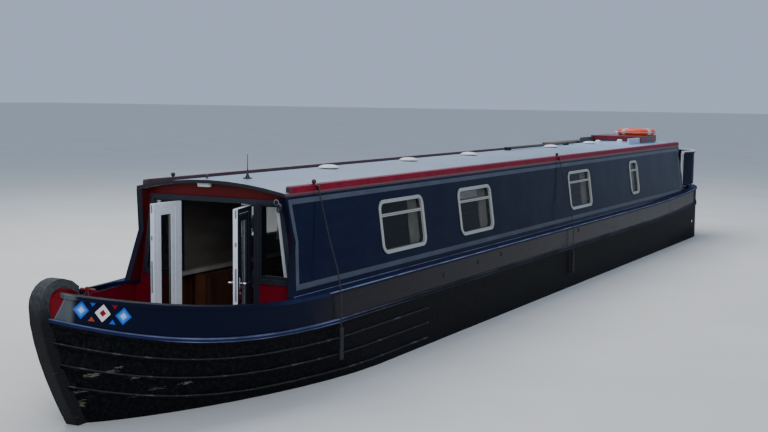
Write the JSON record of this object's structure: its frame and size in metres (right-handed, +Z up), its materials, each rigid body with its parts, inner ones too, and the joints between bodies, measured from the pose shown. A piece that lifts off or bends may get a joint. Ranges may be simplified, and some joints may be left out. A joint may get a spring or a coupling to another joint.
{
  "type": "narrowboat",
  "caption": "Steel narrowboat with a pointed bow, long cabin, open front doors, sliding hatch, tiller-steered rudder and propeller.",
  "frame": {"origin": "underside of the flat base plate, under the middle of the boat's length and beam", "axes": "+X forward to the bow, +Y to port, +Z up; the waterline lies at z = 0.50 m"},
  "size_m": [16.606, 2.177, 2.4539],
  "materials": {
    "hull_black": "satin bitumen black",
    "deck_blue": "gloss",
    "bow_red": "gloss",
    "cabin_navy": "high gloss",
    "rail_burgundy": "gloss",
    "roof_grey": "satin non-slip",
    "frame_grey": "satin",
    "door_white": "satin",
    "glass": "clear",
    "window_frame": "satin anodised",
    "rubber_black": "matt",
    "steel_bright": "polished",
    "bronze": "satin",
    "floor_wood": "oiled",
    "curtain_cloth": "matt",
    "buoy_orange": "satin",
    "engine_iron": "painted",
    "lamp_white": "gloss",
    "aerial_black": "matt"
  },
  "bodies": {
    "boat": {"hull_shell": "hull_black", "base_plate": "hull_black", "stem_band": "rubber_black", "side_deck_port": "deck_blue", "side_deck_starboard": "deck_blue", "foredeck": "bow_red", "t_stud": "bow_red", "well_deck": "frame_grey", "cabin_floor": "floor_wood", "engine": "engine_iron", "cabin_side_port": "cabin_navy", "cabin_side_starboard": "cabin_navy", "window_port_1": "window_frame", "window_port_2": "window_frame", "window_port_3": "window_frame", "window_port_4": "window_frame", "window_starboard_1": "window_frame", "window_starboard_2": "window_frame", "window_starboard_3": "window_frame", "window_starboard_4": "window_frame", "curtains_port": "curtain_cloth", "curtains_starboard": "curtain_cloth", "roof": "roof_grey", "handrail_port": "rail_burgundy", "handrail_starboard": "rail_burgundy", "front_bulkhead": "bow_red", "front_frame": "frame_grey", "side_light_port": "glass", "side_light_starboard": "glass", "rear_bulkhead": "cabin_navy", "stern_deck": "frame_grey", "stern_rail": "cabin_navy", "stern_fender": "rubber_black", "boat_poles": "floor_wood", "gang_plank": "floor_wood", "aerial": "aerial_black", "headlight": "lamp_white", "horn": "steel_bright", "fender_port_1": "rubber_black", "fender_port_2": "rubber_black", "fender_starboard_1": "rubber_black", "fender_starboard_2": "rubber_black"},
    "front_door_port": {"front_door_port": "door_white", "front_pane_port": "glass"},
    "front_door_starboard": {"front_door_starboard": "door_white", "front_pane_starboard": "glass"},
    "rear_door_port": {"rear_door_port": "cabin_navy"},
    "rear_door_starboard": {"rear_door_starboard": "cabin_navy"},
    "hatch": {"hatch": "rail_burgundy", "lifebuoy": "buoy_orange"},
    "locker_lid": {"locker_lid": "bow_red"},
    "rudder": {"rudder": "hull_black"},
    "propeller": {"propeller": "bronze"}
  },
  "joints": [
    {"name": "front_door_port_hinge", "type": "hinge", "parent": "boat", "child": "front_door_port", "pos_m": [6.113, 0.41, 1.38], "axis": [0, 0, 1], "range_deg": [-108, 42]},
    {"name": "front_door_starboard_hinge", "type": "hinge", "parent": "boat", "child": "front_door_starboard", "pos_m": [6.113, -0.41, 1.38], "axis": [0, 0, 1], "range_deg": [-62, 88]},
    {"name": "rear_door_port_hinge", "type": "hinge", "parent": "boat", "child": "rear_door_port", "pos_m": [-6.566, 0.334, 1.65], "axis": [0, 0, 1], "range_deg": [-100, 0]},
    {"name": "rear_door_starboard_hinge", "type": "hinge", "parent": "boat", "child": "rear_door_starboard", "pos_m": [-6.566, -0.334, 1.65], "axis": [0, 0, 1], "range_deg": [0, 100]},
    {"name": "hatch_slide", "type": "slide", "parent": "boat", "child": "hatch", "axis": [1, 0, 0], "range_m": [0, 0.6]},
    {"name": "locker_lid_hinge", "type": "hinge", "parent": "boat", "child": "locker_lid", "pos_m": [7.65, 0, 1.2903], "axis": [0, 1, 0], "range_deg": [0, 90]},
    {"name": "rudder_turn", "type": "hinge", "parent": "boat", "child": "rudder", "pos_m": [-7.85, 0, 0.5], "axis": [0, 0, 1], "range_deg": [-35, 35]},
    {"name": "propeller_spin", "type": "hinge", "parent": "boat", "child": "propeller", "pos_m": [-7.595, 0, 0.245], "axis": [1, 0, 0], "continuous": true}
  ]
}
